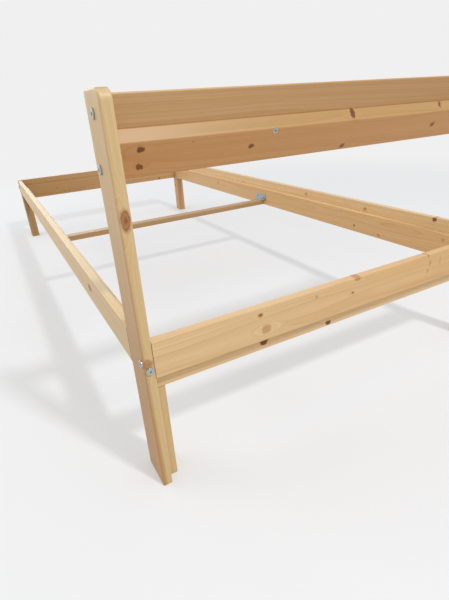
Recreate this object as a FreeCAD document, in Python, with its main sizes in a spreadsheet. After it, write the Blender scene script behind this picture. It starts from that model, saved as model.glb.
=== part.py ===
# A low single bed frame of clear pine for a 90 x 200 cm mattress, with no moving parts.
# X runs across the bed, Y from the headboard (-) to the foot (+) and Z up, in millimetres.
# The origin is on the floor, under the middle of the frame.

import FreeCAD, Part
import os
import Sketcher

os.makedirs("parts", exist_ok=True)
doc = FreeCAD.newDocument("SingleBed")
Vector = FreeCAD.Vector

# ---------------------------------------------------------------- sizes

SIZES = [
    # the frame
    ("frame_width", 940, "over the outer faces of the two sides"),
    ("frame_length", 2060, "over the outer faces of head and foot"),
    ("board_thickness", 18, "all boards are planed to one thickness"),
    ("board_edge_radius", 2, "rounding along the long edges of the boards"),
    ("hole_clearance", 0.2, "between a bolt, screw, dowel or insert and its hole, all round"),
    ("hole_runout", 2, "how much deeper a blind hole is than what goes in it"),
    # posts and legs
    ("post_height", 653, "head posts, from the floor"),
    ("post_depth", 72, "outer planks of posts and legs, along the bed"),
    ("post_edge_radius", 3, "rounding round both broad faces of posts and legs"),
    ("post_rear_radius", 15, "post top, at the head end"),
    ("post_front_radius", 5, "post top, towards the bed"),
    ("leg_top_radius", 4, "foot leg top, both corners"),
    # rails
    ("rail_top", 300, "top edge of the rails and foot legs, from the floor"),
    ("rail_height", 68, "outer board of a rail"),
    ("ledge_height", 68, "ledge board, inside the outer board"),
    ("ledge_drop", 31, "from a rail's top edge down to its ledge"),
    # headboard
    ("lean_angle", 26.4, "lean back from upright, degrees"),
    ("headboard_drop", 6.5, "from the post tops down to the level top edge"),
    ("headboard_inset", 7, "from the posts' front edge back to the lower board"),
    ("lower_board_height", 68, "lower headboard board"),
    ("lower_board_bevel", 13.7, "fall of its bevelled top edge"),
    ("upper_board_height", 73, "rear face of the upper headboard board"),
    ("board_lap", 28.5, "how far the upper board laps over the lower one"),
    ("lower_bolt_height", 14, "above the lower board's bottom edge"),
    ("upper_bolt_height", 43.5, "above the upper board's bottom edge"),
    ("headboard_bolt_reach", 42, "length in the end of a headboard board"),
    ("lap_screw_side", 198, "joining screw, from the middle of the headboard"),
    ("lap_screw_height", 50, "joining screw, above the lower board's bottom edge"),
    # cross bar and its brackets
    ("bar_width", 36, "cross bar, along the bed"),
    ("bracket_length", 78, "flange on the ledge board, along the bed"),
    ("bracket_bar_length", 34, "flange on the cross bar, along the bed"),
    ("bracket_steel", 2, "sheet thickness"),
    ("bracket_rise", 26, "flange on the ledge board"),
    ("bracket_reach", 22, "flange on the cross bar"),
    ("bracket_corner_radius", 5, "corners of the flanges"),
    ("bracket_rail_spacing", 44, "between the two screws in the ledge board"),
    ("bracket_bar_spacing", 16, "between the two screws in the bar"),
    ("bracket_hole_rise", 15, "screws in the ledge board, above the bar"),
    ("bracket_hole_reach", 13, "screws in the bar, from the ledge board"),
    # connector bolts, threaded inserts and dowels
    ("bolt_diameter", 6, "shank"),
    ("bolt_head_diameter", 14, "flat round head"),
    ("bolt_head_height", 2.5, "flat round head"),
    ("bolt_head_round", 0.8, "rounding of the head's rim"),
    ("socket_width", 4, "hexagon socket, across flats"),
    ("socket_depth", 3, "hexagon socket"),
    ("insert_diameter", 10, "threaded insert in the end of a rail"),
    ("insert_length", 25, "threaded insert"),
    ("bolt_overrun", 3, "how far a bolt passes its insert"),
    ("bolt_stagger", 13, "end rail bolt above the side rail bolt that crosses it"),
    ("dowel_diameter", 8, "beech dowel"),
    ("dowel_rise", 20, "dowel above the end rail bolt"),
    ("dowel_in_post", 11, "length in a post or leg"),
    ("dowel_in_rail", 24, "length in a rail"),
    ("dowel_chamfer", 1, "both ends of a dowel"),
    # wood screws
    ("screw_diameter", 4.5, "countersunk screw, shank"),
    ("screw_head_diameter", 9, "countersunk screw, head"),
    ("screw_tip_cover", 6, "wood left in front of a countersunk screw's tip"),
    ("leg_screw_height", 205, "screw through each leg's two planks, from the floor"),
    ("leg_screw_inset", 43, "the same screw, from the end of the bed"),
    ("small_screw_diameter", 4, "bracket screw, shank"),
    ("small_head_diameter", 8, "bracket screw, round head"),
    ("small_head_height", 2.2, "bracket screw, round head"),
    ("small_tip_cover", 4, "wood left in front of a bracket screw's tip"),
    ("recess_span", 4.4, "cross recess, from end to end"),
    ("recess_width", 1.1, "cross recess, one slot"),
    ("recess_depth", 1.4, "cross recess"),
]

sheet = doc.addObject("Spreadsheet::Sheet", "Sizes")
for row, (alias, value, meaning) in enumerate(SIZES, 1):
    sheet.set(f"A{row}", alias)
    sheet.set(f"B{row}", str(value))
    sheet.set(f"C{row}", meaning)
    sheet.setAlias(f"B{row}", alias)
doc.recompute()

# Places that several pieces share, as expressions of the sizes.
THICK = "Sizes.board_thickness"
HALF_THICK = "Sizes.board_thickness / 2"
HALF_WIDTH = "Sizes.frame_width / 2"
HALF_LENGTH = "Sizes.frame_length / 2"
RAIL_BOTTOM = "(Sizes.rail_top - Sizes.rail_height)"
LEDGE_TOP = "(Sizes.rail_top - Sizes.ledge_drop)"
LEDGE_BOTTOM = f"({LEDGE_TOP} - Sizes.ledge_height)"
BAR_TOP = f"({LEDGE_BOTTOM} + {THICK})"

# The side rail bolt is at the middle of the lap between a rail's two boards. The end rail
# bolt passes above it and the dowel is above both. Heights from the outer board's bottom.
SIDE_BOLT_RISE = "(Sizes.rail_height - Sizes.ledge_drop) / 2"
END_BOLT_RISE = f"({SIDE_BOLT_RISE} + Sizes.bolt_stagger)"
DOWEL_RISE = f"({END_BOLT_RISE} + Sizes.dowel_rise)"

# The boards between posts or legs, and between the ledge boards.
END_RAIL_LENGTH = f"(Sizes.frame_width - 2 * {THICK})"
SIDE_RAIL_LENGTH = "(Sizes.frame_length - 2 * Sizes.post_depth)"
INNER_WIDTH = f"(Sizes.frame_width - 4 * {THICK})"

# The leaning headboard has its own axes: a depth through the boards and a height up them,
# from the lower board's bottom rear corner. That corner is given here from the rear of the
# posts and from the floor, so that the headboard's top is level and just below the post tops.
UPPER_FOOT = "(Sizes.lower_board_height - Sizes.board_lap)"
UPPER_TOP = f"({UPPER_FOOT} + Sizes.upper_board_height)"
CORNER_Y = f"(Sizes.post_depth - Sizes.headboard_inset - {THICK} * cos(Sizes.lean_angle))"
CORNER_Z = (f"(Sizes.post_height - Sizes.headboard_drop - {THICK} * sin(Sizes.lean_angle)"
            f" - {UPPER_TOP} * cos(Sizes.lean_angle))")


def leaned(depth, height):
    """Distance from the rear of the posts, and from the floor, of a place in the headboard."""
    along = f"({CORNER_Y} + {depth} * cos(Sizes.lean_angle) - {height} * sin(Sizes.lean_angle))"
    above = f"({CORNER_Z} + {depth} * sin(Sizes.lean_angle) + {height} * cos(Sizes.lean_angle))"
    return along, above


LOWER_BOLT = leaned(HALF_THICK, "Sizes.lower_bolt_height")
UPPER_BOLT = leaned(f"1.5 * {THICK}", f"({UPPER_FOOT} + Sizes.upper_bolt_height)")

# Lengths of the fasteners, under the head.
END_BOLT_LENGTH = f"({THICK} + Sizes.insert_length + Sizes.bolt_overrun)"
SIDE_BOLT_LENGTH = "(Sizes.post_depth + Sizes.insert_length + Sizes.bolt_overrun)"
HEADBOARD_BOLT_LENGTH = f"({THICK} + Sizes.headboard_bolt_reach)"
DOWEL_LENGTH = "(Sizes.dowel_in_post + Sizes.dowel_in_rail)"
PLANK_SCREW_LENGTH = f"(2 * {THICK} - Sizes.screw_tip_cover)"
BRACKET_SCREW_LENGTH = f"(Sizes.bracket_steel + {THICK} - Sizes.small_tip_cover)"
HEAD_CONE = "(Sizes.screw_head_diameter - Sizes.screw_diameter) / 2"

# ---------------------------------------------------------------- modelling steps

PLANE_AXIS = {"XY_Plane": Vector(0, 0, 1), "XZ_Plane": Vector(0, 1, 0), "YZ_Plane": Vector(1, 0, 0)}


def new_body(label, place=("0", "0", "0"), turn_axis="0; 0; 1", turn="0"):
    body = doc.addObject("PartDesign::Body", label)
    body.Label = label
    where = "; ".join(place)
    body.setExpression("Placement", f"placement(vector({where}); rotation(vector({turn_axis}); {turn}))")
    return body


def origin_plane(body, role):
    return next(part for part in body.Origin.OriginFeatures if part.Role == role)


def new_sketch(body, name, role, start="0"):
    """A sketch parallel to an origin plane, at a distance along the plane's axis."""
    sketch = body.newObject("Sketcher::SketchObject", name)
    sketch.AttachmentSupport = [(origin_plane(body, role), "")]
    sketch.MapMode = "FlatFace"
    if start != "0":
        # the sketch's normal points to -Y on the XZ plane
        offset = f"-({start})" if role == "XZ_Plane" else start
        sketch.setExpression("AttachmentOffset", f"placement(vector(0; 0; {offset}); rotation(vector(0; 0; 1); 0))")
    return sketch


def fix_point(sketch, geometry, position, place):
    """Hold a point at a place measured from the sketch's origin; "0" puts it on the axis."""
    across, up = place
    for expression, kind, axis in ((across, "DistanceX", -2), (up, "DistanceY", -1)):
        if expression == "0":
            sketch.addConstraint(Sketcher.Constraint("PointOnObject", geometry, position, axis))
        else:
            distance = sketch.evalExpression(expression)
            index = sketch.addConstraint(Sketcher.Constraint(kind, -1, 1, geometry, position, distance))
            sketch.setExpression(f"Constraints[{index}]", expression)


def draw_outline(sketch, corners):
    """A closed outline of straight lines through the corners."""
    points = [Vector(sketch.evalExpression(across), sketch.evalExpression(up), 0) for across, up in corners]
    count = len(points)
    for index in range(count):
        sketch.addGeometry(Part.LineSegment(points[index], points[(index + 1) % count]), False)
    for index in range(count):
        sketch.addConstraint(Sketcher.Constraint("Coincident", index, 2, (index + 1) % count, 1))
    for index, corner in enumerate(corners):
        fix_point(sketch, index, 1, corner)


def draw_circles(sketch, centres, diameter):
    radius = sketch.evalExpression(diameter) / 2
    for across, up in centres:
        centre = Vector(sketch.evalExpression(across), sketch.evalExpression(up), 0)
        circle = sketch.addGeometry(Part.Circle(centre, Vector(0, 0, 1), radius), False)
        index = sketch.addConstraint(Sketcher.Constraint("Diameter", circle, 2 * radius))
        sketch.setExpression(f"Constraints[{index}]", diameter)
        fix_point(sketch, circle, 3, (across, up))


def pad_outline(body, role, corners, length, symmetric=False):
    """The board itself: its outline, padded along the plane's axis."""
    sketch = new_sketch(body, "Outline", role)
    draw_outline(sketch, corners)
    pad = body.newObject("PartDesign::Pad", "Board")
    pad.Profile = sketch
    pad.setExpression("Length", length)
    pad.SideType = "Symmetric" if symmetric else "One side"
    doc.recompute()


def edge_names(feature, chosen):
    """The names of the feature's edges that chosen(edge) picks."""
    return [f"Edge{number}" for number, edge in enumerate(feature.Shape.Edges, 1) if chosen(edge)]


def round_edges(body, name, radius, chosen):
    base = body.Tip
    fillet = body.newObject("PartDesign::Fillet", name)
    fillet.Base = (base, edge_names(base, chosen))
    fillet.setExpression("Radius", radius)
    doc.recompute()


def runs_along(axis):
    """Picks straight edges parallel to an axis."""
    def chosen(edge):
        return edge.Curve.TypeId == "Part::GeomLine" and edge.Curve.Direction.cross(axis).Length < 1e-6
    return chosen


def cut_sketch(body, name, sketch, role, depth, forward):
    """A pocket from the sketch, towards plus the plane's axis where forward is true."""
    pocket = body.newObject("PartDesign::Pocket", name)
    pocket.Profile = sketch
    if depth == "through":
        pocket.Type = "ThroughAll"
    else:
        pocket.Type = "Length"
        pocket.setExpression("Length", depth)
    pocket.Reversed = forward != (role == "XZ_Plane")
    doc.recompute()
    return pocket


def drill(body, name, role, centres, diameter, start, depth, forward):
    """Round holes with clearance for what goes in them, from a plane at start."""
    sketch = new_sketch(body, f"{name}Sketch", role, start)
    draw_circles(sketch, centres, f"({diameter} + 2 * Sizes.hole_clearance)")
    return cut_sketch(body, name, sketch, role, depth, forward)


def countersink(body, name, role, centres, start, forward):
    """Holes for countersunk screws: through, with a conical seat for the head at the start."""
    drill(body, name, role, centres, "Sizes.screw_diameter", start, "through", forward)
    base = body.Tip
    plane = body.evalExpression(start)
    hole_radius = sheet.screw_diameter / 2 + sheet.hole_clearance

    def is_mouth(edge):
        if edge.Curve.TypeId != "Part::GeomCircle":
            return False
        at_start = abs(edge.Curve.Center.dot(PLANE_AXIS[role]) - plane) < 1e-6
        return at_start and abs(edge.Curve.Radius - hole_radius) < 1e-6

    chamfer = body.newObject("PartDesign::Chamfer", f"{name}Seat")
    chamfer.Base = (base, edge_names(base, is_mouth))
    chamfer.setExpression("Size", HEAD_CONE)
    doc.recompute()


def both_ends(body, features, role):
    """Repeat the features at the board's other end."""
    mirrored = body.newObject("PartDesign::Mirrored", "OtherEnd")
    mirrored.Originals = features
    mirrored.MirrorPlane = (origin_plane(body, role), [""])
    body.Tip = mirrored
    doc.recompute()


def mirror(source, label, normal):
    """The same piece on the other side (normal along X) or at the other end (along Y)."""
    copy = doc.addObject("Part::Mirroring", label)
    copy.Label = label
    copy.Source = source
    copy.Normal = normal
    copy.Base = Vector(0, 0, 0)
    return copy


ACROSS = Vector(1, 0, 0)
ALONG = Vector(0, 1, 0)


def four_corners(label, source):
    """A fastener at all four corners of the bed, as one group of separate solids."""
    right = mirror(source, f"{source.Label}_right", ACROSS)
    foot = mirror(source, f"{source.Label}_foot", ALONG)
    foot_right = mirror(right, f"{source.Label}_foot_right", ALONG)
    return group(label, [source, right, foot, foot_right])


def group(label, pieces):
    compound = doc.addObject("Part::Compound", label)
    compound.Label = label
    compound.Links = pieces
    return compound


def rectangle(width, height):
    return [("0", "0"), (width, "0"), (width, height), ("0", height)]


# ---------------------------------------------------------------- posts and legs

def leg_plank(label, height, place, turn):
    """An outer plank that stands at a corner: from its outer rear corner, X into the bed,
    Y along it. The end rail's bolt and dowel run across it, the side rail's along it."""
    plank = new_body(label, place, turn=turn)
    pad_outline(plank, "YZ_Plane", rectangle("Sizes.post_depth", height), THICK)
    return plank


def round_leg_top(plank, rear_radius, front_radius):
    top = plank.Tip.Shape.BoundBox.ZMax
    middle = sheet.post_depth / 2

    def top_edge(rear):
        def chosen(edge):
            centre = edge.CenterOfMass
            flat = edge.BoundBox.ZLength < 1e-6 and edge.BoundBox.YLength < 1e-6
            return flat and abs(centre.z - top) < 1e-6 and (centre.y < middle) == rear
        return chosen

    round_edges(plank, "TopRear", rear_radius, top_edge(True))
    round_edges(plank, "TopFront", front_radius, top_edge(False))
    round_edges(plank, "Faces", "Sizes.post_edge_radius", lambda edge: edge.BoundBox.XLength < 1e-6)


def drill_leg(plank):
    bolt_height = f"{RAIL_BOTTOM} + {END_BOLT_RISE}"
    side_bolt_height = f"{RAIL_BOTTOM} + {SIDE_BOLT_RISE}"
    dowel_height = f"{RAIL_BOTTOM} + {DOWEL_RISE}"
    dowel_depth = "Sizes.dowel_in_post"
    drill(plank, "EndRailBolt", "YZ_Plane", [(HALF_THICK, bolt_height)],
          "Sizes.bolt_diameter", "0", "through", True)
    drill(plank, "EndRailDowel", "YZ_Plane", [(HALF_THICK, dowel_height)],
          "Sizes.dowel_diameter", THICK, dowel_depth, False)
    drill(plank, "SideRailBolt", "XZ_Plane", [(HALF_THICK, side_bolt_height)],
          "Sizes.bolt_diameter", "0", "through", True)
    drill(plank, "SideRailDowel", "XZ_Plane", [(HALF_THICK, dowel_height)],
          "Sizes.dowel_diameter", "Sizes.post_depth", dowel_depth, False)
    countersink(plank, "PlankScrew", "YZ_Plane", [("Sizes.leg_screw_inset", "Sizes.leg_screw_height")],
                "0", True)


head_post_left = leg_plank("head_post_left", "Sizes.post_height",
                           (f"-{HALF_WIDTH}", f"-{HALF_LENGTH}", "0"), "0")
round_leg_top(head_post_left, "Sizes.post_rear_radius", "Sizes.post_front_radius")
drill_leg(head_post_left)
drill(head_post_left, "HeadboardBolts", "YZ_Plane", [LOWER_BOLT, UPPER_BOLT],
      "Sizes.bolt_diameter", "0", "through", True)
head_post_right = mirror(head_post_left, "head_post_right", ACROSS)

foot_leg_right = leg_plank("foot_leg_right", "Sizes.rail_top",
                           (HALF_WIDTH, HALF_LENGTH, "0"), "180")
round_leg_top(foot_leg_right, "Sizes.leg_top_radius", "Sizes.leg_top_radius")
drill_leg(foot_leg_right)
foot_leg_left = mirror(foot_leg_right, "foot_leg_left", ACROSS)

# The inner planks make each leg two planks thick. A notch in the top corner of each one takes
# the end of the ledge board that crosses the bed.
INNER_LEG_DEPTH = f"(Sizes.post_depth - {THICK})"
head_inner_leg_left = new_body("head_inner_leg_left",
                               (f"-{HALF_WIDTH} + {THICK}", f"-{HALF_LENGTH} + {THICK}", "0"))
pad_outline(head_inner_leg_left, "YZ_Plane", rectangle(INNER_LEG_DEPTH, LEDGE_TOP), THICK)
round_edges(head_inner_leg_left, "LongEdges", "Sizes.board_edge_radius", runs_along(Vector(0, 0, 1)))
notch = new_sketch(head_inner_leg_left, "Notch", "YZ_Plane")
draw_outline(notch, [("0", LEDGE_BOTTOM), (THICK, LEDGE_BOTTOM), (THICK, LEDGE_TOP), ("0", LEDGE_TOP)])
cut_sketch(head_inner_leg_left, "NotchCut", notch, "YZ_Plane", THICK, True)
drill(head_inner_leg_left, "PlankScrew", "YZ_Plane",
      [(f"Sizes.leg_screw_inset - {THICK}", "Sizes.leg_screw_height")],
      "Sizes.screw_diameter", "0", f"{THICK} - Sizes.screw_tip_cover + Sizes.hole_runout", True)
head_inner_leg_right = mirror(head_inner_leg_left, "head_inner_leg_right", ACROSS)
foot_inner_leg_left = mirror(head_inner_leg_left, "foot_inner_leg_left", ALONG)
foot_inner_leg_right = mirror(head_inner_leg_right, "foot_inner_leg_right", ALONG)

# ---------------------------------------------------------------- rails


def drill_rail_ends(board, role, bolt_rise, length):
    """Insert, bolt and dowel holes in both ends of an outer board."""
    end = f"{length} / 2"
    features = [
        drill(board, "Insert", role, [(HALF_THICK, bolt_rise)],
              "Sizes.insert_diameter", end, "Sizes.insert_length", False),
        drill(board, "Bolt", role, [(HALF_THICK, bolt_rise)], "Sizes.bolt_diameter", end,
              "Sizes.insert_length + Sizes.bolt_overrun + Sizes.hole_runout", False),
        drill(board, "Dowel", role, [(HALF_THICK, DOWEL_RISE)], "Sizes.dowel_diameter", end,
              "Sizes.dowel_in_rail + Sizes.hole_runout", False),
    ]
    both_ends(board, features, role)


# Across the head: the outer board is flush with the rear of the posts. The ledge board is
# inside it, as long, with its ends in the inner planks' notches.
head_rail_outer_board = new_body("head_rail_outer_board", ("0", f"-{HALF_LENGTH}", RAIL_BOTTOM))
pad_outline(head_rail_outer_board, "YZ_Plane", rectangle(THICK, "Sizes.rail_height"),
            END_RAIL_LENGTH, symmetric=True)
round_edges(head_rail_outer_board, "LongEdges", "Sizes.board_edge_radius", runs_along(ACROSS))
drill_rail_ends(head_rail_outer_board, "YZ_Plane", END_BOLT_RISE, END_RAIL_LENGTH)
foot_rail_outer_board = mirror(head_rail_outer_board, "foot_rail_outer_board", ALONG)

head_rail_ledge_board = new_body("head_rail_ledge_board",
                                 ("0", f"-{HALF_LENGTH} + {THICK}", LEDGE_BOTTOM))
pad_outline(head_rail_ledge_board, "YZ_Plane", rectangle(THICK, "Sizes.ledge_height"),
            END_RAIL_LENGTH, symmetric=True)
round_edges(head_rail_ledge_board, "LongEdges", "Sizes.board_edge_radius", runs_along(ACROSS))
foot_rail_ledge_board = mirror(head_rail_ledge_board, "foot_rail_ledge_board", ALONG)

# Along the sides, from post to leg.
side_rail_outer_board_left = new_body("side_rail_outer_board_left",
                                      (f"-{HALF_WIDTH}", "0", RAIL_BOTTOM))
pad_outline(side_rail_outer_board_left, "XZ_Plane", rectangle(THICK, "Sizes.rail_height"),
            SIDE_RAIL_LENGTH, symmetric=True)
round_edges(side_rail_outer_board_left, "LongEdges", "Sizes.board_edge_radius", runs_along(ALONG))
drill_rail_ends(side_rail_outer_board_left, "XZ_Plane", SIDE_BOLT_RISE, SIDE_RAIL_LENGTH)
side_rail_outer_board_right = mirror(side_rail_outer_board_left, "side_rail_outer_board_right", ACROSS)

side_rail_ledge_board_left = new_body("side_rail_ledge_board_left",
                                      (f"-{HALF_WIDTH} + {THICK}", "0", LEDGE_BOTTOM))
pad_outline(side_rail_ledge_board_left, "XZ_Plane", rectangle(THICK, "Sizes.ledge_height"),
            SIDE_RAIL_LENGTH, symmetric=True)
round_edges(side_rail_ledge_board_left, "LongEdges", "Sizes.board_edge_radius", runs_along(ALONG))
RAIL_HOLE_SIDE = "Sizes.bracket_rail_spacing / 2"
BAR_HOLE_SIDE = "Sizes.bracket_bar_spacing / 2"
SMALL_SCREW_DEPTH = f"{THICK} - Sizes.small_tip_cover + Sizes.hole_runout"
drill(side_rail_ledge_board_left, "BracketScrews", "YZ_Plane",
      [(f"-{RAIL_HOLE_SIDE}", f"{THICK} + Sizes.bracket_hole_rise"),
       (RAIL_HOLE_SIDE, f"{THICK} + Sizes.bracket_hole_rise")],
      "Sizes.small_screw_diameter", THICK, SMALL_SCREW_DEPTH, False)
side_rail_ledge_board_right = mirror(side_rail_ledge_board_left, "side_rail_ledge_board_right", ACROSS)

# ---------------------------------------------------------------- headboard

LEANING_PLACE = ("0", f"{CORNER_Y} - {HALF_LENGTH}", CORNER_Z)


def headboard_board(label, corners, bolt_centre):
    board = new_body(label, LEANING_PLACE, turn_axis="1; 0; 0", turn="Sizes.lean_angle")
    pad_outline(board, "YZ_Plane", corners, END_RAIL_LENGTH, symmetric=True)
    round_edges(board, "LongEdges", "Sizes.board_edge_radius", runs_along(ACROSS))
    bolts = drill(board, "Bolt", "YZ_Plane", [bolt_centre], "Sizes.bolt_diameter",
                  f"{END_RAIL_LENGTH} / 2", "Sizes.headboard_bolt_reach + Sizes.hole_runout", False)
    both_ends(board, [bolts], "YZ_Plane")
    return board


# The lower board's top edge is bevelled so that it rises towards the upper board.
headboard_lower_board = headboard_board(
    "headboard_lower_board",
    [("0", "0"), (THICK, "0"), (THICK, "Sizes.lower_board_height"),
     ("0", "Sizes.lower_board_height - Sizes.lower_board_bevel")],
    (HALF_THICK, "Sizes.lower_bolt_height"))
LAP_SCREW = [("-Sizes.lap_screw_side", "Sizes.lap_screw_height")]
countersink(headboard_lower_board, "LapScrew", "XZ_Plane", LAP_SCREW, "0", True)

# The upper board laps in front of the lower one, and its top edge is cut level.
headboard_upper_board = headboard_board(
    "headboard_upper_board",
    [(THICK, UPPER_FOOT), (f"2 * {THICK}", UPPER_FOOT),
     (f"2 * {THICK}", f"{UPPER_TOP} - {THICK} * tan(Sizes.lean_angle)"), (THICK, UPPER_TOP)],
    (f"1.5 * {THICK}", f"{UPPER_FOOT} + Sizes.upper_bolt_height"))
drill(headboard_upper_board, "LapScrew", "XZ_Plane", LAP_SCREW, "Sizes.screw_diameter", THICK,
      f"{THICK} - Sizes.screw_tip_cover + Sizes.hole_runout", True)

# ---------------------------------------------------------------- cross bar and brackets

HALF_BAR = "Sizes.bar_width / 2"
cross_bar = new_body("cross_bar", ("0", "0", LEDGE_BOTTOM))
pad_outline(cross_bar, "YZ_Plane",
            [(f"-{HALF_BAR}", "0"), (HALF_BAR, "0"), (HALF_BAR, THICK), (f"-{HALF_BAR}", THICK)],
            INNER_WIDTH, symmetric=True)
round_edges(cross_bar, "LongEdges", "Sizes.board_edge_radius", runs_along(ACROSS))
bar_holes = drill(cross_bar, "BracketScrews", "XY_Plane",
                  [(f"-{INNER_WIDTH} / 2 + Sizes.bracket_hole_reach", f"-{BAR_HOLE_SIDE}"),
                   (f"-{INNER_WIDTH} / 2 + Sizes.bracket_hole_reach", BAR_HOLE_SIDE)],
                  "Sizes.small_screw_diameter", THICK, SMALL_SCREW_DEPTH, False)
both_ends(cross_bar, [bar_holes], "YZ_Plane")

# An angle of sheet steel stands on the bar, against the ledge board.
BRACKET_PLACE = (f"-{INNER_WIDTH} / 2", "0", BAR_TOP)
cross_bar_bracket_left = new_body("cross_bar_bracket_left", BRACKET_PLACE)
STEEL = "Sizes.bracket_steel"
pad_outline(cross_bar_bracket_left, "XZ_Plane",
            [("0", "0"), (STEEL, "0"), (STEEL, "Sizes.bracket_rise"), ("0", "Sizes.bracket_rise")],
            "Sizes.bracket_length", symmetric=True)
pad_outline(cross_bar_bracket_left, "XZ_Plane",
            [("0", "0"), ("Sizes.bracket_reach", "0"), ("Sizes.bracket_reach", STEEL), ("0", STEEL)],
            "Sizes.bracket_bar_length", symmetric=True)


def flange_corner(edge):
    """The short edges through the sheet, at the free ends of both flanges."""
    short = abs(edge.Length - sheet.bracket_steel) < 1e-6
    centre = edge.CenterOfMass
    return short and max(centre.x / sheet.bracket_reach, centre.z / sheet.bracket_rise) > 0.9


round_edges(cross_bar_bracket_left, "FlangeCorners", "Sizes.bracket_corner_radius", flange_corner)
drill(cross_bar_bracket_left, "RailHoles", "YZ_Plane",
      [(f"-{RAIL_HOLE_SIDE}", "Sizes.bracket_hole_rise"), (RAIL_HOLE_SIDE, "Sizes.bracket_hole_rise")],
      "Sizes.small_screw_diameter", "0", STEEL, True)
drill(cross_bar_bracket_left, "BarHoles", "XY_Plane",
      [("Sizes.bracket_hole_reach", f"-{BAR_HOLE_SIDE}"), ("Sizes.bracket_hole_reach", BAR_HOLE_SIDE)],
      "Sizes.small_screw_diameter", "0", STEEL, True)
cross_bar_bracket_right = mirror(cross_bar_bracket_left, "cross_bar_bracket_right", ACROSS)

# ---------------------------------------------------------------- fasteners
# Each is turned about its own Z: the head is above z = 0 and the shank is below it.

INTO_THE_BED_ACROSS = dict(turn_axis="0; 1; 0", turn="-90")
INTO_THE_BED_ALONG = dict(turn_axis="1; 0; 0", turn="90")
TOWARDS_THE_SIDE = dict(turn_axis="0; 1; 0", turn="90")
THROUGH_THE_HEADBOARD = dict(turn_axis="1; 0; 0", turn="90 + Sizes.lean_angle")


def turned_body(label, corners, place, direction):
    body = new_body(label, place, **direction)
    sketch = new_sketch(body, "Profile", "XZ_Plane")
    draw_outline(sketch, corners)
    turned = body.newObject("PartDesign::Revolution", "Turned")
    turned.Profile = sketch
    turned.ReferenceAxis = (sketch, ["V_Axis"])
    turned.Angle = 360
    doc.recompute()
    return body


def top_rim(body, radius):
    """Picks the circle of that radius at the highest level where the body has one."""
    circles = [edge for edge in body.Tip.Shape.Edges
               if edge.Curve.TypeId == "Part::GeomCircle" and abs(edge.Curve.Radius - radius) < 1e-6]
    top = max(circle.Curve.Center.z for circle in circles)

    def chosen(edge):
        round_edge = edge.Curve.TypeId == "Part::GeomCircle" and abs(edge.Curve.Radius - radius) < 1e-6
        return round_edge and abs(edge.Curve.Center.z - top) < 1e-6
    return chosen


def connector_bolt(label, length, place, direction):
    """A bolt with a flat round head and a hexagon socket."""
    shank = "Sizes.bolt_diameter / 2"
    head = "Sizes.bolt_head_diameter / 2"
    bolt = turned_body(label, [("0", f"-{length}"), (shank, f"-{length}"), (shank, "0"), (head, "0"),
                               (head, "Sizes.bolt_head_height"), ("0", "Sizes.bolt_head_height")],
                       place, direction)
    round_edges(bolt, "Rim", "Sizes.bolt_head_round", top_rim(bolt, sheet.bolt_head_diameter / 2))
    socket = new_sketch(bolt, "Socket", "XY_Plane", "Sizes.bolt_head_height")
    corner = "Sizes.socket_width / sqrt(3)"
    draw_outline(socket, [(f"{corner} * cos({60 * turn})", f"{corner} * sin({60 * turn})" if turn % 3 else "0")
                          for turn in range(6)])
    cut_sketch(bolt, "SocketCut", socket, "XY_Plane", "Sizes.socket_depth", False)
    return bolt


def cut_cross_recess(screw, top):
    recess = new_sketch(screw, "Recess", "XY_Plane", top)
    reach = "Sizes.recess_span / 2"
    side = "Sizes.recess_width / 2"
    corners = [(reach, f"-{side}"), (reach, side), (side, side)]
    corners += [(side, reach), (f"-{side}", reach), (f"-{side}", side)]
    corners += [(f"-{reach}", side), (f"-{reach}", f"-{side}"), (f"-{side}", f"-{side}")]
    corners += [(f"-{side}", f"-{reach}"), (side, f"-{reach}"), (side, f"-{side}")]
    draw_outline(recess, corners)
    cut_sketch(screw, "RecessCut", recess, "XY_Plane", "Sizes.recess_depth", False)


def countersunk_screw(label, length, place, direction):
    """A wood screw whose flat head lies flush, with a pointed tip as long as its shank is thick."""
    shank = "Sizes.screw_diameter / 2"
    screw = turned_body(label, [("0", f"-{length}"), (shank, f"-{length} + Sizes.screw_diameter"),
                                (shank, f"-{HEAD_CONE}"), ("Sizes.screw_head_diameter / 2", "0"), ("0", "0")],
                        place, direction)
    cut_cross_recess(screw, "0")
    return screw


def bracket_screw(label, place, direction):
    """A small wood screw with a domed head."""
    shank = "Sizes.small_screw_diameter / 2"
    head = "Sizes.small_head_diameter / 2"
    length = BRACKET_SCREW_LENGTH
    screw = turned_body(label, [("0", f"-{length}"), (shank, f"-{length} + Sizes.small_screw_diameter"),
                                (shank, "0"), (head, "0"), (head, "Sizes.small_head_height"),
                                ("0", "Sizes.small_head_height")],
                        place, direction)
    round_edges(screw, "Dome", "0.75 * Sizes.small_head_height", top_rim(screw, sheet.small_head_diameter / 2))
    cut_cross_recess(screw, "Sizes.small_head_height")
    return screw


def headboard_bolt(label, centre):
    along, above = centre
    bolt = connector_bolt(label, HEADBOARD_BOLT_LENGTH,
                          (f"-{HALF_WIDTH}", f"{along} - {HALF_LENGTH}", above), INTO_THE_BED_ACROSS)
    return [bolt, mirror(bolt, f"{label}_right", ACROSS)]


headboard_bolts = group("headboard_bolts", headboard_bolt("headboard_bolt_lower", LOWER_BOLT)
                        + headboard_bolt("headboard_bolt_upper", UPPER_BOLT))

# Each rail end has a bolt, a threaded insert round it and a dowel above it. They are placed at
# the head's left corner, and the other corners mirror them.
END_LINE_Y = f"-{HALF_LENGTH} + {HALF_THICK}"
SIDE_LINE_X = f"-{HALF_WIDTH} + {HALF_THICK}"
END_BOLT_Z = f"{RAIL_BOTTOM} + {END_BOLT_RISE}"
SIDE_BOLT_Z = f"{RAIL_BOTTOM} + {SIDE_BOLT_RISE}"
DOWEL_Z = f"{RAIL_BOTTOM} + {DOWEL_RISE}"

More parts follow.
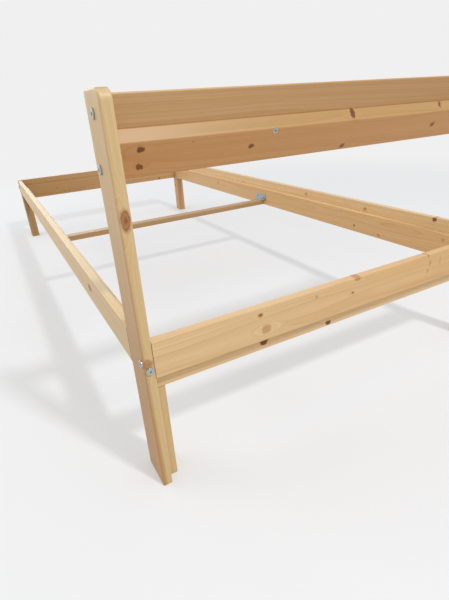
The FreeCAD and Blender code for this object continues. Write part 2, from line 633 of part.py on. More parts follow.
end_rail_bolts = four_corners("end_rail_bolts", connector_bolt(
    "end_rail_bolt", END_BOLT_LENGTH, (f"-{HALF_WIDTH}", END_LINE_Y, END_BOLT_Z), INTO_THE_BED_ACROSS))
side_rail_bolts = four_corners("side_rail_bolts", connector_bolt(
    "side_rail_bolt", SIDE_BOLT_LENGTH, (SIDE_LINE_X, f"-{HALF_LENGTH}", SIDE_BOLT_Z), INTO_THE_BED_ALONG))


def threaded_insert(label, place, direction):
    """A sleeve flush with the rail's end, which the bolt screws into."""
    bore = "Sizes.bolt_diameter / 2 + Sizes.hole_clearance"
    outside = "Sizes.insert_diameter / 2"
    depth = "-Sizes.insert_length"
    return turned_body(label, [(bore, "0"), (bore, depth), (outside, depth), (outside, "0")],
                       place, direction)


end_rail_inserts = four_corners("end_rail_inserts", threaded_insert(
    "end_rail_insert", (f"-{HALF_WIDTH} + {THICK}", END_LINE_Y, END_BOLT_Z), INTO_THE_BED_ACROSS))
side_rail_inserts = four_corners("side_rail_inserts", threaded_insert(
    "side_rail_insert", (SIDE_LINE_X, f"-{HALF_LENGTH} + Sizes.post_depth", SIDE_BOLT_Z), INTO_THE_BED_ALONG))


def dowel(label, place, direction):
    """A dowel from the bottom of its hole in the post, with chamfered ends."""
    radius = "Sizes.dowel_diameter / 2"
    inner = f"{radius} - Sizes.dowel_chamfer"
    far = f"-{DOWEL_LENGTH}"
    return turned_body(label, [("0", "0"), ("0", far), (inner, far), (radius, f"{far} + Sizes.dowel_chamfer"),
                               (radius, "-Sizes.dowel_chamfer"), (inner, "0")],
                       place, direction)


end_rail_dowels = four_corners("end_rail_dowels", dowel(
    "end_rail_dowel", (f"-{HALF_WIDTH} + {THICK} - Sizes.dowel_in_post", END_LINE_Y, DOWEL_Z),
    INTO_THE_BED_ACROSS))
side_rail_dowels = four_corners("side_rail_dowels", dowel(
    "side_rail_dowel", (SIDE_LINE_X, f"-{HALF_LENGTH} + Sizes.post_depth - Sizes.dowel_in_post", DOWEL_Z),
    INTO_THE_BED_ALONG))

leg_plank_screws = four_corners("leg_plank_screws", countersunk_screw(
    "leg_plank_screw", PLANK_SCREW_LENGTH,
    (f"-{HALF_WIDTH}", f"-{HALF_LENGTH} + Sizes.leg_screw_inset", "Sizes.leg_screw_height"),
    INTO_THE_BED_ACROSS))

lap_along, lap_above = leaned("0", "Sizes.lap_screw_height")
headboard_joining_screw = countersunk_screw(
    "headboard_joining_screw", PLANK_SCREW_LENGTH,
    ("-Sizes.lap_screw_side", f"{lap_along} - {HALF_LENGTH}", lap_above), THROUGH_THE_HEADBOARD)

bracket_rail_screws = four_corners("bracket_rail_screws", bracket_screw(
    "bracket_rail_screw",
    (f"-{INNER_WIDTH} / 2 + {STEEL}", f"-{RAIL_HOLE_SIDE}", f"{BAR_TOP} + Sizes.bracket_hole_rise"),
    TOWARDS_THE_SIDE))
bracket_bar_screws = four_corners("bracket_bar_screws", bracket_screw(
    "bracket_bar_screw",
    (f"-{INNER_WIDTH} / 2 + Sizes.bracket_hole_reach", f"-{BAR_HOLE_SIDE}", f"{BAR_TOP} + {STEEL}"),
    dict(turn_axis="0; 0; 1", turn="0")))

# ---------------------------------------------------------------- checks and files

PIECES = [
    head_post_left, head_post_right, foot_leg_left, foot_leg_right,
    head_inner_leg_left, head_inner_leg_right, foot_inner_leg_left, foot_inner_leg_right,
    head_rail_outer_board, head_rail_ledge_board, foot_rail_outer_board, foot_rail_ledge_board,
    side_rail_outer_board_left, side_rail_outer_board_right,
    side_rail_ledge_board_left, side_rail_ledge_board_right,
    headboard_lower_board, headboard_upper_board,
    cross_bar, cross_bar_bracket_left, cross_bar_bracket_right,
    headboard_bolts, headboard_joining_screw, end_rail_bolts, side_rail_bolts,
    end_rail_inserts, side_rail_inserts, end_rail_dowels, side_rail_dowels,
    leg_plank_screws, bracket_rail_screws, bracket_bar_screws,
]

doc.recompute()
for item in doc.Objects:
    if "Invalid" in item.State or "Error" in item.State:
        raise SystemExit(f"{item.Label} failed: {item.State}")
for pocket in doc.findObjects("PartDesign::Pocket"):
    if pocket.Shape.Volume > pocket.BaseFeature.Shape.Volume - 1:
        raise SystemExit(f"{pocket.Label} cuts nothing")
for piece in PIECES:
    if piece.Shape.isNull() or not piece.Shape.isValid():
        raise SystemExit(f"{piece.Label} has no valid shape")
for piece in PIECES:
    piece.Shape.exportStep(f"parts/{piece.Label}.step")
    print(f"{piece.Label}: {len(piece.Shape.Solids)} solids, {piece.Shape.Volume / 1000:.1f} cm3")
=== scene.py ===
import bpy
from math import radians
from mathutils import Euler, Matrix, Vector


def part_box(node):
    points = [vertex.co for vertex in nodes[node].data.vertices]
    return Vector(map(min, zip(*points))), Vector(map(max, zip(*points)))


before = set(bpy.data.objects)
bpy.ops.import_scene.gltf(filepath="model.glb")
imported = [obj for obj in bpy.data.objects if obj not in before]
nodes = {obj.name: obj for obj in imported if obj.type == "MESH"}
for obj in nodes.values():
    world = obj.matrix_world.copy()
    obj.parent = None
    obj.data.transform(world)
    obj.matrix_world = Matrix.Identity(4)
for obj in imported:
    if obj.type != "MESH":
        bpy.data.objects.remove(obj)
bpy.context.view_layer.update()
bpy.ops.object.select_all(action="DESELECT")
print("frame loaded:", len(nodes), "pieces")

millimetre = 0.001


# sRGB hex to linear red, green, blue and alpha
def toLinear(hexColour):
    parts = [int(hexColour[i:i + 2], 16) / 255 for i in (1, 3, 5)]
    return [p / 12.92 if p <= 0.04045 else ((p + 0.055) / 1.055) ** 2.4 for p in parts] + [1.0]


# an input is a value, or another node's output to link; stops are a colour ramp's
def addNode(tree, kind, settings=None, inputs=None, stops=()):
    node = tree.nodes.new(kind)
    for name, value in (settings or {}).items():
        setattr(node, name, value)
    for name, value in (inputs or {}).items():
        if isinstance(value, bpy.types.NodeSocket):
            tree.links.new(value, node.inputs[name])
        else:
            node.inputs[name].default_value = value
    for number, (position, colour) in enumerate(stops):
        if number > 1:
            node.color_ramp.elements.new(position)
        node.color_ramp.elements[number].position = position
        node.color_ramp.elements[number].color = colour
    return node


def grey(level):
    return [level, level, level, 1.0]


def newMaterial(name):
    material = bpy.data.materials.new(name)
    material.use_nodes = True
    material.node_tree.nodes.clear()
    return material, material.node_tree


def setMaterial(piece, material):
    piece.data.materials.clear()
    piece.data.materials.append(material)


view = {
    "place": (-0.6059, -1.5774, 0.6306),
    "turn": (64.43, 3.33, -29.14),     # degrees, fitted to the edges of the boards
    "lens": 33.59,
    "sensor": 36.0,
}
cameraData = bpy.data.cameras.new("camera")
cameraData.sensor_fit = "HORIZONTAL"
cameraData.sensor_width = view["sensor"]
cameraData.lens = view["lens"]
camera = bpy.data.objects.new("camera", cameraData)
camera.location = view["place"]
camera.rotation_euler = Euler([radians(angle) for angle in view["turn"]])
bpy.context.scene.collection.objects.link(camera)
bpy.context.scene.camera = camera
bpy.context.scene.view_settings.view_transform = "Standard"

studio = {
    "farPaper": "#F0F0F0",     # the seamless paper far away, and the sky behind it
    "glow": 0.25,              # what the camera sees of the near paper where no light falls
    "shade": [0.66, 0.67, 0.685, 1.0],   # and how much the light on it adds
    "bounce": [0.55, 0.47, 0.38, 1.0],   # what it throws back on the bed: less and warmer than white
    "floorSize": 120,          # metres, so that its edge is never seen
    "near": 1.5, "far": 3.8,   # metres from the bed's middle, where the one turns into the other
    "sky": 0.60,               # the strength of the light from all around
    "lamps": [
        {"name": "keyLamp", "place": (0.93, -3.93, 4.2), "size": (0.4, 0.4), "watts": 85},
        {"name": "lowSoftbox", "place": (1.0, -5.6, 4.1), "size": (1.2, 0.8), "watts": 22},
        {"name": "leftSoftbox", "place": (-3.6, 1.6, 2.2), "size": (3.0, 2.0), "watts": 38},
        {"name": "backSoftbox", "place": (-0.8, 5.2, 1.9), "size": (4.0, 1.6), "watts": 50},
    ],
    "aim": (0.0, -0.6, 0.3),   # where every lamp points
}


# one for rays straight from the camera, or by way of metal or glass
def seenDirectly(tree):
    path = addNode(tree, "ShaderNodeLightPath")
    first = addNode(tree, "ShaderNodeMath", {"operation": "MAXIMUM"},
                    {0: path.outputs["Is Camera Ray"], 1: path.outputs["Is Glossy Ray"]})
    return addNode(tree, "ShaderNodeMath", {"operation": "MAXIMUM"},
                   {0: first.outputs[0], 1: path.outputs["Is Transmission Ray"]}).outputs[0]


# matt seamless paper: most of what the camera sees of it glows, so that it stays pale,
# and the rest takes the bed's shadow
def paperMaterial():
    material, tree = newMaterial("mattSeamlessPaper")
    plain = addNode(tree, "ShaderNodeBsdfDiffuse", inputs={"Color": studio["bounce"]})
    glow = addNode(tree, "ShaderNodeEmission", inputs={"Color": [1, 1, 1, 1], "Strength": studio["glow"]})
    shade = addNode(tree, "ShaderNodeBsdfDiffuse", inputs={"Color": studio["shade"]})
    near = addNode(tree, "ShaderNodeAddShader", inputs={0: glow.outputs[0], 1: shade.outputs[0]})
    far = addNode(tree, "ShaderNodeEmission",
                  inputs={"Color": toLinear(studio["farPaper"]), "Strength": 1.0})
    place = addNode(tree, "ShaderNodeTexCoord")
    reach = addNode(tree, "ShaderNodeVectorMath", {"operation": "LENGTH"}, {0: place.outputs["Object"]})
    away = addNode(tree, "ShaderNodeMapRange", {"interpolation_type": "SMOOTHSTEP"},
                   {"Value": reach.outputs["Value"], "From Min": studio["near"], "From Max": studio["far"]})
    seen = addNode(tree, "ShaderNodeMixShader",
                   inputs={"Fac": away.outputs[0], 1: near.outputs[0], 2: far.outputs[0]})
    both = addNode(tree, "ShaderNodeMixShader",
                   inputs={"Fac": seenDirectly(tree), 1: plain.outputs[0], 2: seen.outputs[0]})
    addNode(tree, "ShaderNodeOutputMaterial", inputs={"Surface": both.outputs[0]})
    return material


bpy.ops.mesh.primitive_plane_add(size=studio["floorSize"])
paper = bpy.context.object
paper.name = "paper"
paper.data.materials.append(paperMaterial())

world = bpy.data.worlds.new("studioSky")
bpy.context.scene.world = world
world.use_nodes = True
world.node_tree.nodes.clear()
skyLight = addNode(world.node_tree, "ShaderNodeBackground",
                   inputs={"Color": [1, 1, 1, 1], "Strength": studio["sky"]})
skySeen = addNode(world.node_tree, "ShaderNodeBackground",
                  inputs={"Color": toLinear(studio["farPaper"]), "Strength": 1.0})
skyMix = addNode(world.node_tree, "ShaderNodeMixShader",
                 inputs={"Fac": seenDirectly(world.node_tree),
                         1: skyLight.outputs[0], 2: skySeen.outputs[0]})
addNode(world.node_tree, "ShaderNodeOutputWorld", inputs={"Surface": skyMix.outputs[0]})

for lamp in studio["lamps"]:
    data = bpy.data.lights.new(lamp["name"], "AREA")
    data.shape = "RECTANGLE"
    data.size, data.size_y = lamp["size"]
    data.energy = lamp["watts"]
    box = bpy.data.objects.new(lamp["name"], data)
    box.location = lamp["place"]
    box.rotation_euler = (Vector(studio["aim"]) - Vector(lamp["place"])).to_track_quat("-Z", "Y").to_euler()
    box.visible_camera = False
    bpy.context.scene.collection.objects.link(box)
print("camera, floor and lights placed")

# Board axes: x along the grain, y up the board's width and z through its thickness.
alongX = (90, 0, 0)
alongY = (90, 0, 90)
upright = (0, -90, 0)
flatAcross = (0, 0, 0)
leaning = (116.4, 0, 0)

# "pith" is where the tree's heart lies, as y and z from the board's middle, and "slope" is how
# it wanders from the grain in degrees. A knot is x, y, z, its three radii and its darkness.
# "second" is a tone that the board turns to along a direction, from one distance to another. Some boards
# use it for painted light and shade, others for the wood's own tone.
boards = [
    {"piece": "head_post_left", "turn": upright, "tone": "#E9D0A1",
     "pith": (-30, 46), "slope": (0.4, 0.8),
     "second": ("#CA9F68", (-0.0167, 0, 1), 3, 12),     # painted shade: the outer face darkens and browns towards the floor, where less light falls
     "knots": [(166, -36, 0, 13.5, 11.5, 6.5, 0.55), (-63, -36, 1, 8, 8, 7, 0.42)]},
    {"piece": "head_post_right", "turn": upright, "tone": "#EDD29B",
     "pith": (24, -38), "slope": (0.8, 0.5),
     "knots": [(205, 8, 0, 6.5, 6, 30, 0.35), (-20, -20, 0, 4.5, 4.5, 30, 0.5),
               (-180, 22, 0, 6, 5, 30, 0.35)]},
    # Foot end: these tones are darker than the head end's, partly the wood's own tone and partly painted
    # shade where less light reaches the far end of the bed.
    {"piece": "foot_leg_left", "turn": upright, "tone": "#BC9A6A",
     "pith": (10, 30), "slope": (1.0, 0.6),
     "knots": [(-40, 12, 0, 7, 6, 30, 0.6)]},
    {"piece": "foot_leg_right", "turn": upright, "tone": "#DFB686",
     "pith": (-18, 42), "slope": (0.6, 1.1),
     "knots": [(60, -14, 0, 6, 6, 30, 0.5)]},
    {"piece": "head_inner_leg_left", "turn": upright, "tone": "#E6CD9C",
     "pith": (12, -40), "slope": (0.9, 0.5),
     "knots": [(-40, 10, 0, 6, 6, 30, 0.5)]},
    {"piece": "head_inner_leg_right", "turn": upright, "tone": "#E6CD9C",
     "pith": (-20, 34), "slope": (0.7, 0.9),
     "knots": [(30, -8, 0, 7, 6, 30, 0.6)]},
    {"piece": "foot_inner_leg_left", "turn": upright, "tone": "#BC9A6A",
     "pith": (6, 36), "slope": (1.1, 0.4),
     "knots": [(-70, 12, 0, 6, 5, 30, 0.5)]},
    {"piece": "foot_inner_leg_right", "turn": upright, "tone": "#DFB686",
     "pith": (-8, -40), "slope": (0.5, 1.0),
     "knots": [(20, 6, 0, 7, 6, 30, 0.5)]},
    {"piece": "head_rail_outer_board", "turn": alongX, "tone": "#F4D8AC",
     "pith": (-6, -34), "slope": (0.7, 0.4),
     "second": ("#E9C188", (1, 0, 0), -450, 450),
     "knots": [(-251, 21, 0, 4.5, 3.5, 30, 0.6), (-239, -11, 0, 9, 7.5, 30, 0.36),
               (-125, 21, 0, 2.5, 2, 30, 0.35), (-21, 32, 0, 7, 4.5, 30, 0.4),
               (-32, 4, 0, 2.8, 2.6, 30, 0.55), (187, 32, 0, 2.5, 2.5, 30, 0.55),
               (196, 13, 0, 4, 7, 30, 0.3), (191, -3, 0, 2.8, 4.5, 30, 0.35),
               (229, 13, 0, 2, 6, 30, 0.3)]},
    {"piece": "head_rail_ledge_board", "turn": alongX, "tone": "#F4D9AC",
     "pith": (14, -40), "slope": (0.5, 0.6),
     "knots": [(-233, -17, 0, 8, 6.5, 30, 0.95), (-77, -27, 0, 5.5, 4.5, 30, 0.85)]},
    # The foot rail's darker tones are likewise partly painted shade of the far end.
    {"piece": "foot_rail_outer_board", "turn": alongX, "tone": "#C49E70",
     "pith": (10, 36), "slope": (0.4, 0.6),
     # painted light: paler towards the right-hand end, where more light falls
     "second": ("#DFB98B", (1, 0, 0), -450, 450),
     "knots": [(-330, 12, 0, 6, 5, 30, 0.3), (-60, -10, 0, 5, 5, 30, 0.25),
               (250, 8, 0, 6, 5, 30, 0.3)]},
    {"piece": "foot_rail_ledge_board", "turn": alongX, "tone": "#C19867",
     "pith": (-12, 30), "slope": (0.6, 0.5),
     # painted light: paler towards the right-hand end, where more light falls
     "second": ("#D8B083", (1, 0, 0), -450, 450),
     "knots": [(-281, 1, 0, 5.5, 4.5, 30, 0.4), (-214, -20, 0, 5.5, 4.5, 30, 0.4),
               (330, -24, 0, 5.5, 4.5, 30, 0.7)]},
    {"piece": "side_rail_outer_board_left", "turn": alongY, "tone": "#E8CE9F",
     "pith": (6, 38), "slope": (0.5, 0.4),
     "knots": [(-668, 1, 0, 15, 7, 30, 0.65), (-300, 14, 0, 5, 4.5, 30, 0.3),
               (60, -12, 0, 6, 5, 30, 0.35), (470, 10, 0, 5, 4.5, 30, 0.35),
               (800, -6, 0, 5, 4.5, 30, 0.4)]},
    {"piece": "side_rail_outer_board_right", "turn": alongY, "tone": "#F0D2A2",
     "pith": (-8, 36), "slope": (0.4, 0.5),
     # painted light: paler towards the foot end, where more light falls on it
     "second": ("#F6DCB4", (1, 0, 0), -900, 900),
     "knots": [(-847, 29, 0, 6, 4.5, 30, 0.7), (-288, 17, 0, 6, 4.5, 30, 0.4),
               (-591, 12, 0, 7, 5, 30, 0.45), (180, 5, 0, 6, 4.5, 30, 0.3)]},
    {"piece": "side_rail_ledge_board_left", "turn": alongY, "tone": "#E8CE9F",
     "pith": (-10, -32), "slope": (0.6, 0.4),
     "knots": [(-700, 10, 0, 6, 5, 30, 0.35), (-210, -14, 0, 5, 4.5, 30, 0.35),
               (360, 8, 0, 6, 5, 30, 0.35)]},
    {"piece": "side_rail_ledge_board_right", "turn": alongY, "tone": "#EDC794",
     "pith": (12, -36), "slope": (0.4, 0.7),
     "knots": [(404, 7, 0, 7, 5, 30, 0.45), (-566, -14, 0, 4, 3.5, 30, 0.7),
               (-672, -23, 0, 6, 4.5, 30, 0.35), (810, 2, 0, 7, 5, 30, 0.35),
               (-894, 15, 0, 6, 4, 30, 0.3)]},
    {"piece": "headboard_lower_board", "turn": leaning, "tone": "#DDAD78",
     "pith": (4, -36), "slope": (0.5, 0.5),
     "second": ("#CBA66D", (0, 1, 0), 21, 24),          # painted shade: the bevel is darker and yellower, to temper the light it catches from above
     "knots": [(-417, 11, 0, 5, 4.5, 30, 0.85), (-419, -15, 0, 4.5, 4, 30, 0.75),
               (-238, -3, 0, 4.5, 4, 30, 0.75), (-41, -24, 0, 4.5, 4, 30, 0.65),
               (184, -4, 0, 5, 4.5, 30, 0.65), (-339, 14, 0, 2, 1.8, 30, 0.4),
               (-36, 30, 0, 4.5, 9, 9, 0.8), (190, 30, 0, 3.5, 5, 6, 0.7)]},
    {"piece": "headboard_upper_board", "turn": leaning, "tone": "#E3BF92",
     "pith": (-8, 40), "slope": (0.3, 0.5),
     "second": ("#D0A673", (1, 0, 0), -450, 450),
     "knots": [(90, -24, 0, 9, 3, 30, 0.3)]},
    # The cross bar's darker tone is partly the wood's own and partly painted shade under the bed.
    {"piece": "cross_bar", "turn": flatAcross, "tone": "#BF9F73",
     "pith": (8, -34), "slope": (0.6, 0.5),
     "knots": [(-180, 6, 0, 5, 4.5, 30, 0.35), (140, -8, 0, 4.5, 4.5, 30, 0.35)]},
]

# Lengths are in millimetres, and a pair of them is along the grain and across it. In a ramp
# zero is pale wood and one is the darkest.
pine = {
    "seedStep": 3.7,                    # from one board to the next, so that no two look alike
    "ringWidth": 4.6,                   # a little wide for pine, so that rings still show in the render
    "yearRamp": [(0.0, 0), (0.45, 0.15), (0.8, 0.7), (0.94, 1), (1.0, 0)],
    "unevenOften": 0.09, "unevenBy": 14.0,         # some years grow wide and some narrow
    "bandOften": 0.1,                   # several years together are paler or darker
    "sway": (320, 60), "swayBy": 16,    # how the grain wanders
    "streaks": (480, 9), "fibre": (26, 0.8),
    "paleness": -0.66,                  # with the four shares added, 0 is pale wood and 1 late wood
    "lateShare": 0.38, "bandShare": 0.85, "streakShare": 0.7, "fibreShare": 0.3,
    "lateWood": (0.80, 0.67, 0.48),     # the dark part of a ring, as a share of the board's tone
    "ragged": (9, 6), "raggedBy": (8, 7, 7),       # the uneven outline of a knot
    "parting": (0.22, 0.5, 0.5), "partingReach": 1.2, "partingBy": 1.3,   # how rings part around it
    "knotEdge": (1.6, 1.3),             # where its stain begins and is full, in radii of the knot
    "knotRampReach": 2,                 # where its ramp ends, also in radii
    "knotRamp": [(0.0, 1), (0.16, 0.82), (0.34, 0.68), (0.45, 0.86), (0.60, 0.32), (0.8, 0)],
    "knotColours": [(0.25, "#B5723A"), (0.6, "#79451B"), (1.0, "#3C220C")],
    "knotCover": 0.5,                   # how dark it has to be to hide the grain
    "endFacing": (0.75, 0.97), "endGrain": 0.72,
    "roughness": (0.36, 0.46),          # matt lacquer, glossier on the dark part of a ring
    "fibreRelief": 0.6, "reliefStrength": 0.25, "reliefHeight": 0.05,
}


# Scots pine, planed and given a clear matt lacquer: pale wood with soft amber rings that
# part around reddish brown knots, and hardly any shine
def pineMaterial(board, seed):
    material, tree = newMaterial("lacqueredPine_" + board["piece"])
    low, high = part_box(board["piece"])
    place = addNode(tree, "ShaderNodeTexCoord")
    wood = addNode(tree, "ShaderNodeMapping", {"vector_type": "TEXTURE"},
                   {"Vector": place.outputs["Object"], "Scale": [millimetre] * 3,
                    "Location": [(a + b) / 2 for a, b in zip(low, high)],
                    "Rotation": [radians(angle) for angle in board["turn"]]}).outputs[0]

    # noise stretched along the grain
    def noise(along, across, detail=2.0):
        scaled = addNode(tree, "ShaderNodeVectorMath", {"operation": "MULTIPLY"},
                         {0: wood, 1: [1 / along, 1 / across, 1 / across]})
        return addNode(tree, "ShaderNodeTexNoise", {"noise_dimensions": "4D"},
                       {"Vector": scaled.outputs[0], "W": seed, "Scale": 1.0, "Detail": detail})

    swayed = addNode(tree, "ShaderNodeVectorMath", {"operation": "MULTIPLY_ADD"},
                     {0: noise(*pine["sway"]).outputs["Color"],
                      1: [0, pine["swayBy"], pine["swayBy"]], 2: wood})
    aside, through = board["pith"]
    heart = addNode(tree, "ShaderNodeMapping", {"vector_type": "POINT"},
                    {"Vector": swayed.outputs[0], "Location": [0, -aside, -through],
                     "Rotation": [0] + [radians(angle) for angle in board["slope"]]})
    across = addNode(tree, "ShaderNodeVectorMath", {"operation": "MULTIPLY"},
                     {0: heart.outputs[0], 1: [0, 1, 1]})
    radius = addNode(tree, "ShaderNodeVectorMath", {"operation": "LENGTH"},
                     {0: across.outputs[0]}).outputs["Value"]

    ragged = addNode(tree, "ShaderNodeVectorMath", {"operation": "MULTIPLY_ADD"},
                     {0: noise(*pine["ragged"]).outputs["Color"],
                      1: pine["raggedBy"], 2: wood}).outputs[0]
    nearest, knotDark = 9.0, 0.0      # to start with, nine radii away from any knot
    for *middle, rx, ry, rz, dark in board["knots"]:
        offset = addNode(tree, "ShaderNodeVectorMath", {"operation": "SUBTRACT"},
                         {0: ragged, 1: [a + by / 2 for a, by in zip(middle, pine["raggedBy"])]})
        close = addNode(tree, "ShaderNodeVectorMath", {"operation": "MULTIPLY"},
                        {0: offset.outputs[0], 1: [1 / rx, 1 / ry, 1 / rz]})
        edge = addNode(tree, "ShaderNodeVectorMath", {"operation": "LENGTH"}, {0: close.outputs[0]})
        wide = addNode(tree, "ShaderNodeVectorMath", {"operation": "MULTIPLY"},
                       {0: offset.outputs[0], 1: [a / r for a, r in zip(pine["parting"], (rx, ry, rz))]})
        around = addNode(tree, "ShaderNodeVectorMath", {"operation": "LENGTH"}, {0: wide.outputs[0]})
        bulge = addNode(tree, "ShaderNodeMapRange", {"interpolation_type": "SMOOTHSTEP"},
                        {"Value": around.outputs["Value"], "From Min": 0.0,
                         "From Max": pine["partingReach"],
                         "To Min": pine["partingBy"] * ry, "To Max": 0.0})
        radius = addNode(tree, "ShaderNodeMath", {"operation": "SUBTRACT"},
                         {0: radius, 1: bulge.outputs[0]}).outputs[0]
        nearest = addNode(tree, "ShaderNodeMath", {"operation": "MINIMUM"},
                          {0: nearest, 1: edge.outputs["Value"]}).outputs[0]
        inside = addNode(tree, "ShaderNodeMapRange", {"interpolation_type": "SMOOTHSTEP"},
                         {"Value": edge.outputs["Value"], "From Min": pine["knotEdge"][0],
                          "From Max": pine["knotEdge"][1], "To Min": 0.0, "To Max": dark})
        knotDark = addNode(tree, "ShaderNodeMath", {"operation": "MAXIMUM"},
                           {0: knotDark, 1: inside.outputs[0]}).outputs[0]

    # each ring darkens slowly through the year and ends sharply, and no two are alike
    unevenly = addNode(tree, "ShaderNodeTexNoise", {"noise_dimensions": "1D"},
                       {"W": radius, "Scale": pine["unevenOften"], "Detail": 1.0})
    counted = addNode(tree, "ShaderNodeMath", {"operation": "MULTIPLY_ADD"},
                      {0: unevenly.outputs["Fac"], 1: pine["unevenBy"], 2: radius})
    ring = addNode(tree, "ShaderNodeMath", {"operation": "MULTIPLY"},
                   {0: counted.outputs[0], 1: 1 / pine["ringWidth"]})
    year = addNode(tree, "ShaderNodeMath", {"operation": "FRACT"}, {0: ring.outputs[0]})
    late = addNode(tree, "ShaderNodeValToRGB", {}, {"Fac": year.outputs[0]},
                   [(position, grey(level)) for position, level in pine["yearRamp"]])
    band = addNode(tree, "ShaderNodeTexNoise", {"noise_dimensions": "1D"},
                   {"W": counted.outputs[0], "Scale": pine["bandOften"], "Detail": 2.0})
    fibre = noise(*pine["fibre"], 3.0).outputs["Fac"]
    shade = pine["paleness"]
    for source, share in ((late.outputs[0], pine["lateShare"]), (band.outputs["Fac"], pine["bandShare"]),
                          (noise(*pine["streaks"]).outputs["Fac"], pine["streakShare"]),
                          (fibre, pine["fibreShare"])):
        shade = addNode(tree, "ShaderNodeMath", {"operation": "MULTIPLY_ADD"},
                        {0: source, 1: share, 2: shade}).outputs[0]
    pale = toLinear(board["tone"])
    if "second" in board:
        colour, direction, start, end = board["second"]
        along = addNode(tree, "ShaderNodeVectorMath", {"operation": "DOT_PRODUCT"},
                        {0: wood, 1: direction})
        turned = addNode(tree, "ShaderNodeMapRange", {"interpolation_type": "SMOOTHSTEP"},
                         {"Value": along.outputs["Value"], "From Min": start, "From Max": end})
        pale = addNode(tree, "ShaderNodeMix", {"data_type": "RGBA"},
                       {0: turned.outputs[0], 6: pale, 7: toLinear(colour)}).outputs[2]
    amber = addNode(tree, "ShaderNodeMix", {"data_type": "RGBA", "blend_type": "MULTIPLY"},
                    {0: 1.0, 6: pale, 7: [*pine["lateWood"], 1]})
    grain = addNode(tree, "ShaderNodeMix", {"data_type": "RGBA"}, {0: shade, 6: pale, 7: amber.outputs[2]})

    # a knot is darkest at its rim and heart, and stains the wood around it
    reach = addNode(tree, "ShaderNodeMath", {"operation": "MULTIPLY"},
                    {0: nearest, 1: 1 / pine["knotRampReach"]})
    profile = addNode(tree, "ShaderNodeValToRGB", {}, {"Fac": reach.outputs[0]},
                      [(position, grey(level)) for position, level in pine["knotRamp"]])
    knot = addNode(tree, "ShaderNodeMath", {"operation": "MULTIPLY"},
                   {0: profile.outputs[0], 1: knotDark})
    knotColour = addNode(tree, "ShaderNodeValToRGB", {}, {"Fac": knot.outputs[0]},
                         [(position, toLinear(tone)) for position, tone in pine["knotColours"]])
    cover = addNode(tree, "ShaderNodeMapRange", {},
                    {"Value": knot.outputs[0], "From Max": pine["knotCover"]})
    knotted = addNode(tree, "ShaderNodeMix", {"data_type": "RGBA"},
                      {0: cover.outputs[0], 6: grain.outputs[2], 7: knotColour.outputs[0]})

    # sawn ends drink more lacquer than planed faces, and look darker
    axis = Vector((1, 0, 0))
    axis.rotate(Euler([radians(angle) for angle in board["turn"]]))
    facing = addNode(tree, "ShaderNodeVectorMath", {"operation": "DOT_PRODUCT"},
                     {0: place.outputs["Normal"], 1: list(axis)})
    ends = addNode(tree, "ShaderNodeMath", {"operation": "ABSOLUTE"}, {0: facing.outputs["Value"]})
    darker = addNode(tree, "ShaderNodeMapRange", {"interpolation_type": "SMOOTHSTEP"},
                     {"Value": ends.outputs[0], "From Min": pine["endFacing"][0],
                      "From Max": pine["endFacing"][1], "To Min": 1.0, "To Max": pine["endGrain"]})
    finished = addNode(tree, "ShaderNodeVectorMath", {"operation": "SCALE"},
                       {0: knotted.outputs[2], "Scale": darker.outputs[0]})

    gloss = addNode(tree, "ShaderNodeMapRange", {},
                    {"Value": shade, "To Min": pine["roughness"][1], "To Max": pine["roughness"][0]})
    relief = addNode(tree, "ShaderNodeMath", {"operation": "MULTIPLY_ADD"},
                     {0: fibre, 1: pine["fibreRelief"], 2: late.outputs[0]})
    bump = addNode(tree, "ShaderNodeBump", {},
                   {"Height": relief.outputs[0], "Strength": pine["reliefStrength"],
                    "Distance": pine["reliefHeight"] * millimetre})
    skin = addNode(tree, "ShaderNodeBsdfPrincipled", {},
                   {"Base Color": finished.outputs[0], "Roughness": gloss.outputs[0], "IOR": 1.5,
                    "Normal": bump.outputs[0]})
    addNode(tree, "ShaderNodeOutputMaterial", inputs={"Surface": skin.outputs[0]})
    return material


for number, board in enumerate(boards):
    setMaterial(nodes[board["piece"]], pineMaterial(board, pine["seedStep"] * number))
print("pine boards finished:", len(boards))

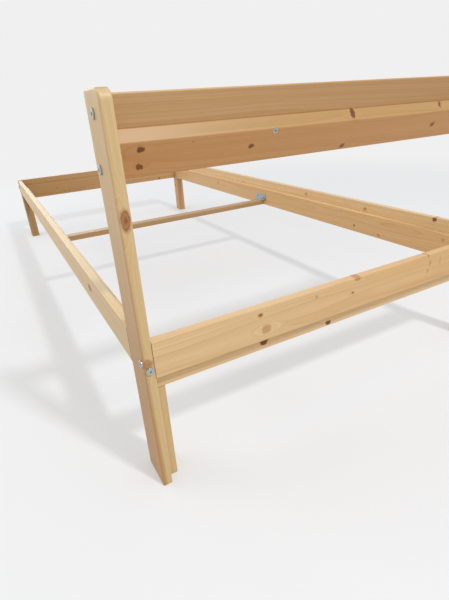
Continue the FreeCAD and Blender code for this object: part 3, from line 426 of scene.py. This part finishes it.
# a cloud or a fleck is the width of one patch of colour, in millimetres
zincPlate = {"dull": "#9BA3A5", "bright": "#BFC6C6", "cloud": 3, "roughness": (0.22, 0.42)}
beechWood = {"pale": "#D9B893", "dark": "#B98C63", "fleck": 1.5, "roughness": 0.6}


# steel with bright zinc plating, barrel plated: cool grey, shiny but never a clean mirror
def zincMaterial():
    material, tree = newMaterial("brightZincPlate")
    place = addNode(tree, "ShaderNodeTexCoord")
    cloud = addNode(tree, "ShaderNodeTexNoise", {},
                    {"Vector": place.outputs["Object"], "Scale": 1 / (zincPlate["cloud"] * millimetre),
                     "Detail": 3.0})
    tone = addNode(tree, "ShaderNodeMix", {"data_type": "RGBA"},
                   {0: cloud.outputs["Fac"],
                    6: toLinear(zincPlate["dull"]), 7: toLinear(zincPlate["bright"])})
    gloss = addNode(tree, "ShaderNodeMapRange", {},
                    {"Value": cloud.outputs["Fac"], "To Min": zincPlate["roughness"][0],
                     "To Max": zincPlate["roughness"][1]})
    skin = addNode(tree, "ShaderNodeBsdfPrincipled", {},
                   {"Base Color": tone.outputs[2], "Metallic": 1.0, "Roughness": gloss.outputs[0]})
    addNode(tree, "ShaderNodeOutputMaterial", inputs={"Surface": skin.outputs[0]})
    return material


# turned beech, raw: even pinkish brown with short darker flecks, and no shine
def beechMaterial():
    material, tree = newMaterial("turnedBeech")
    place = addNode(tree, "ShaderNodeTexCoord")
    fleck = addNode(tree, "ShaderNodeTexNoise", {},
                    {"Vector": place.outputs["Object"], "Scale": 1 / (beechWood["fleck"] * millimetre),
                     "Detail": 2.0})
    tone = addNode(tree, "ShaderNodeMix", {"data_type": "RGBA"},
                   {0: fleck.outputs["Fac"],
                    6: toLinear(beechWood["pale"]), 7: toLinear(beechWood["dark"])})
    skin = addNode(tree, "ShaderNodeBsdfPrincipled", {},
                   {"Base Color": tone.outputs[2], "Roughness": beechWood["roughness"], "IOR": 1.5})
    addNode(tree, "ShaderNodeOutputMaterial", inputs={"Surface": skin.outputs[0]})
    return material


zinc, beech = zincMaterial(), beechMaterial()
boardNames = [board["piece"] for board in boards]
for name, piece in nodes.items():
    if name not in boardNames:
        setMaterial(piece, beech if name.endswith("dowels") else zinc)
print("fasteners finished")
